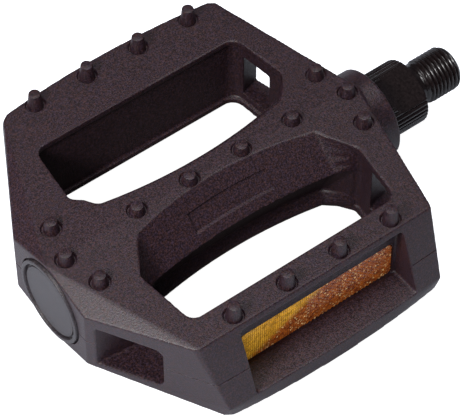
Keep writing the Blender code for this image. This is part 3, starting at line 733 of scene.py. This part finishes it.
def make_cap(material):
    """Push-in cap: a raised rounded rim, a groove, and a disc a little below the rim."""
    outer = [(-52.6, 12.0), (-53.75, 12.0), (-53.92, 11.93), (-54.0, 11.8), (-54.05, 11.5),
             (-54.05, 11.2), (-54.0, 10.98), (-53.85, 10.88), (-52.9, 10.8), (-52.9, 10.2),
             (-53.5, 10.12), (-53.62, 10.02), (-53.66, 9.85), (-53.68, 9.0), (-53.7, 2.0)]
    inner = [(-52.6, 9.5), (-49.8, 9.5), (-49.8, 8.6), (-52.5, 8.6), (-52.5, 2.0)]
    bm = bmesh.new()
    loops = []
    for x, radius in inner[::-1] + outer:
        loops.append([bm.verts.new((x, radius * math.cos(math.tau * k / CAP_SEGMENTS),
                                    radius * math.sin(math.tau * k / CAP_SEGMENTS)))
                      for k in range(CAP_SEGMENTS)])
    for low, high in zip(loops, loops[1:]):
        for i in range(CAP_SEGMENTS):
            j = (i + 1) % CAP_SEGMENTS
            bm.faces.new((low[i], low[j], high[j], high[i]))
    bm.faces.new(loops[0])
    bm.faces.new(loops[-1])
    cap = to_object(bm, "cap_moulding")
    smooth(cap, 50)
    finish_piece(cap, "cage", "cap_plastic", material, "dust_cap")


# ---------------------------------------------------------------- studio
def make_floor():
    bm = bmesh.new()
    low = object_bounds()[0].z - FLOOR_DROP
    bm.faces.new([bm.verts.new((x * FLOOR_HALF, y * FLOOR_HALF, low)) for x, y in
                  ((-1, -1), (1, -1), (1, 1), (-1, 1))])
    mesh = bpy.data.meshes.new("floor")
    bm.to_mesh(mesh)
    bm.free()
    floor = bpy.data.objects.new("floor", mesh)
    SCENE.objects.link(floor)
    mesh.materials.append(floor_paper_painted_shadow())
    floor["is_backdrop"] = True


def floor_paper_painted_shadow():
    """Not a plain pale floor: even white to camera rays only, and a painted shadow near the pedal
    to all other rays, dark paper there, which keeps the floor's light out of the windows."""
    paper = bpy.data.materials.new("floor_paper_painted_shadow")
    paper.use_nodes = True
    nodes, links = paper.node_tree.nodes, paper.node_tree.links
    shader = nodes["Principled BSDF"]
    shader.inputs["Roughness"].default_value = 0.9
    place = nodes.new("ShaderNodeTexCoord").outputs["Object"]
    reach = nodes.new("ShaderNodeVectorMath")
    reach.operation = "DISTANCE"
    reach.inputs[1].default_value = (GRID_X * MM, 0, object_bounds()[0].z)
    links.new(place, reach.inputs[0])
    edge = nodes.new("ShaderNodeMapRange")
    edge.inputs["From Min"].default_value, edge.inputs["From Max"].default_value = SHADE_EDGE
    links.new(reach.outputs["Value"], edge.inputs["Value"])
    tone = nodes.new("ShaderNodeMix")
    tone.data_type = "RGBA"
    # painted shadow: the floor's colour goes dark near the pedal and fades to pale paper at
    # SHADE_EDGE
    tone.inputs[6].default_value = (0.07, 0.06, 0.06, 1)
    tone.inputs[7].default_value = (0.66, 0.70, 0.78, 1)
    links.new(edge.outputs["Result"], tone.inputs[0])
    links.new(tone.outputs[2], shader.inputs["Base Color"])
    shader.inputs["Emission Color"].default_value = (1, 1, 1, 1)
    seen = nodes.new("ShaderNodeLightPath").outputs["Is Camera Ray"]
    links.new(seen, shader.inputs["Emission Strength"])
    return paper


def aim(lamp, azimuth, elevation, distance):
    a, e = math.radians(azimuth), math.radians(elevation)
    away = Vector((math.sin(a) * math.cos(e), -math.cos(a) * math.cos(e), math.sin(e)))
    lamp.location = away * distance
    lamp.rotation_mode = "QUATERNION"
    lamp.rotation_quaternion = away.to_track_quat("Z", "Y")
    SCENE.objects.link(lamp)


def soft_box(name, azimuth, elevation, distance, size, power):
    light = bpy.data.lights.new(name, "AREA")
    light.size, light.energy = size, power
    aim(bpy.data.objects.new(name, light), azimuth, elevation, distance)


def broad_sun(name, azimuth, elevation, angle, strength):
    light = bpy.data.lights.new(name, "SUN")
    light.angle, light.energy = math.radians(angle), strength
    aim(bpy.data.objects.new(name, light), azimuth, elevation, 1.0)


def make_studio():
    make_floor()
    world = bpy.data.worlds.new("studio")
    bpy.context.scene.world = world
    world.use_nodes = True
    sky = world.node_tree.nodes["Background"]
    sky.inputs["Color"].default_value = (0.9, 0.85, 1.0, 1)
    sky.inputs["Strength"].default_value = 0.10
    soft_box("key", -78, 41, 0.4, 0.08, 1.2)
    broad_sun("front", -58, 46, 30, 0.75)
    broad_sun("top", 165, 86, 25, 1.6)
    view = bpy.context.scene.view_settings
    view.view_transform, view.look = "Standard", "None"


def make_camera():
    azimuth, elevation = math.radians(CAMERA_AZIMUTH), math.radians(CAMERA_ELEVATION)
    roll = math.radians(CAMERA_ROLL)
    back = Vector((math.sin(azimuth) * math.cos(elevation),
                   -math.cos(azimuth) * math.cos(elevation), math.sin(elevation)))
    right = Vector((math.cos(azimuth), math.sin(azimuth), 0))
    up = back.cross(right)
    level, tilt = math.cos(roll), math.sin(roll)
    right, up = level * right + tilt * up, level * up - tilt * right
    place = Matrix((right, up, back)).transposed().to_4x4()
    place.translation = (back * CAMERA_DISTANCE + right * CAMERA_RIGHT + up * CAMERA_UP
                         + Vector((GRID_X * MM, 0, 0)))
    data = bpy.data.cameras.new("camera")
    data.lens, data.sensor_width = CAMERA_LENS, CAMERA_SENSOR
    data.clip_start, data.clip_end = 0.02, 20.0
    camera = bpy.data.objects.new("camera", data)
    camera.matrix_world = place
    SCENE.objects.link(camera)
    bpy.context.scene.camera = camera


def main():
    cage_black = moulded_plastic("cage_grained_plastic", (0.028, 0.011, 0.011),
                                 (0.022, 0.012, 0.021), 0.42, 0.00009)
    cap_black = moulded_plastic("cap_grained_plastic", (0.034, 0.024, 0.025),
                                (0.028, 0.024, 0.030), 0.42, 0.00010)
    make_cage(cage_black)
    make_cap(cap_black)
    make_axle(black_oxide())
    lens = amber()
    for word, front in (("front", True), ("rear", False)):
        make_lens(word, front, lens)
    steel = bearing_steel()
    backing = plain_noise("reflector_backing", (0.10, 0.05, 0.015), (0.2, 0.1, 0.03), 0.5)
    rubber = plain_noise("seal_rubber_matt", (0.012, 0.012, 0.012), (0.03, 0.03, 0.03), 0.75)
    special = {"inboard_seal": rubber, "reflector_front_backing": backing,
               "reflector_rear_backing": backing}
    replaced = ("cage", "dust_cap", "axle", "reflector_front_lens", "reflector_rear_lens")
    for name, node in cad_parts.items():
        if name not in replaced:
            node.material_slots[0].material = special.get(name, steel)
    make_studio()
    make_camera()


main()
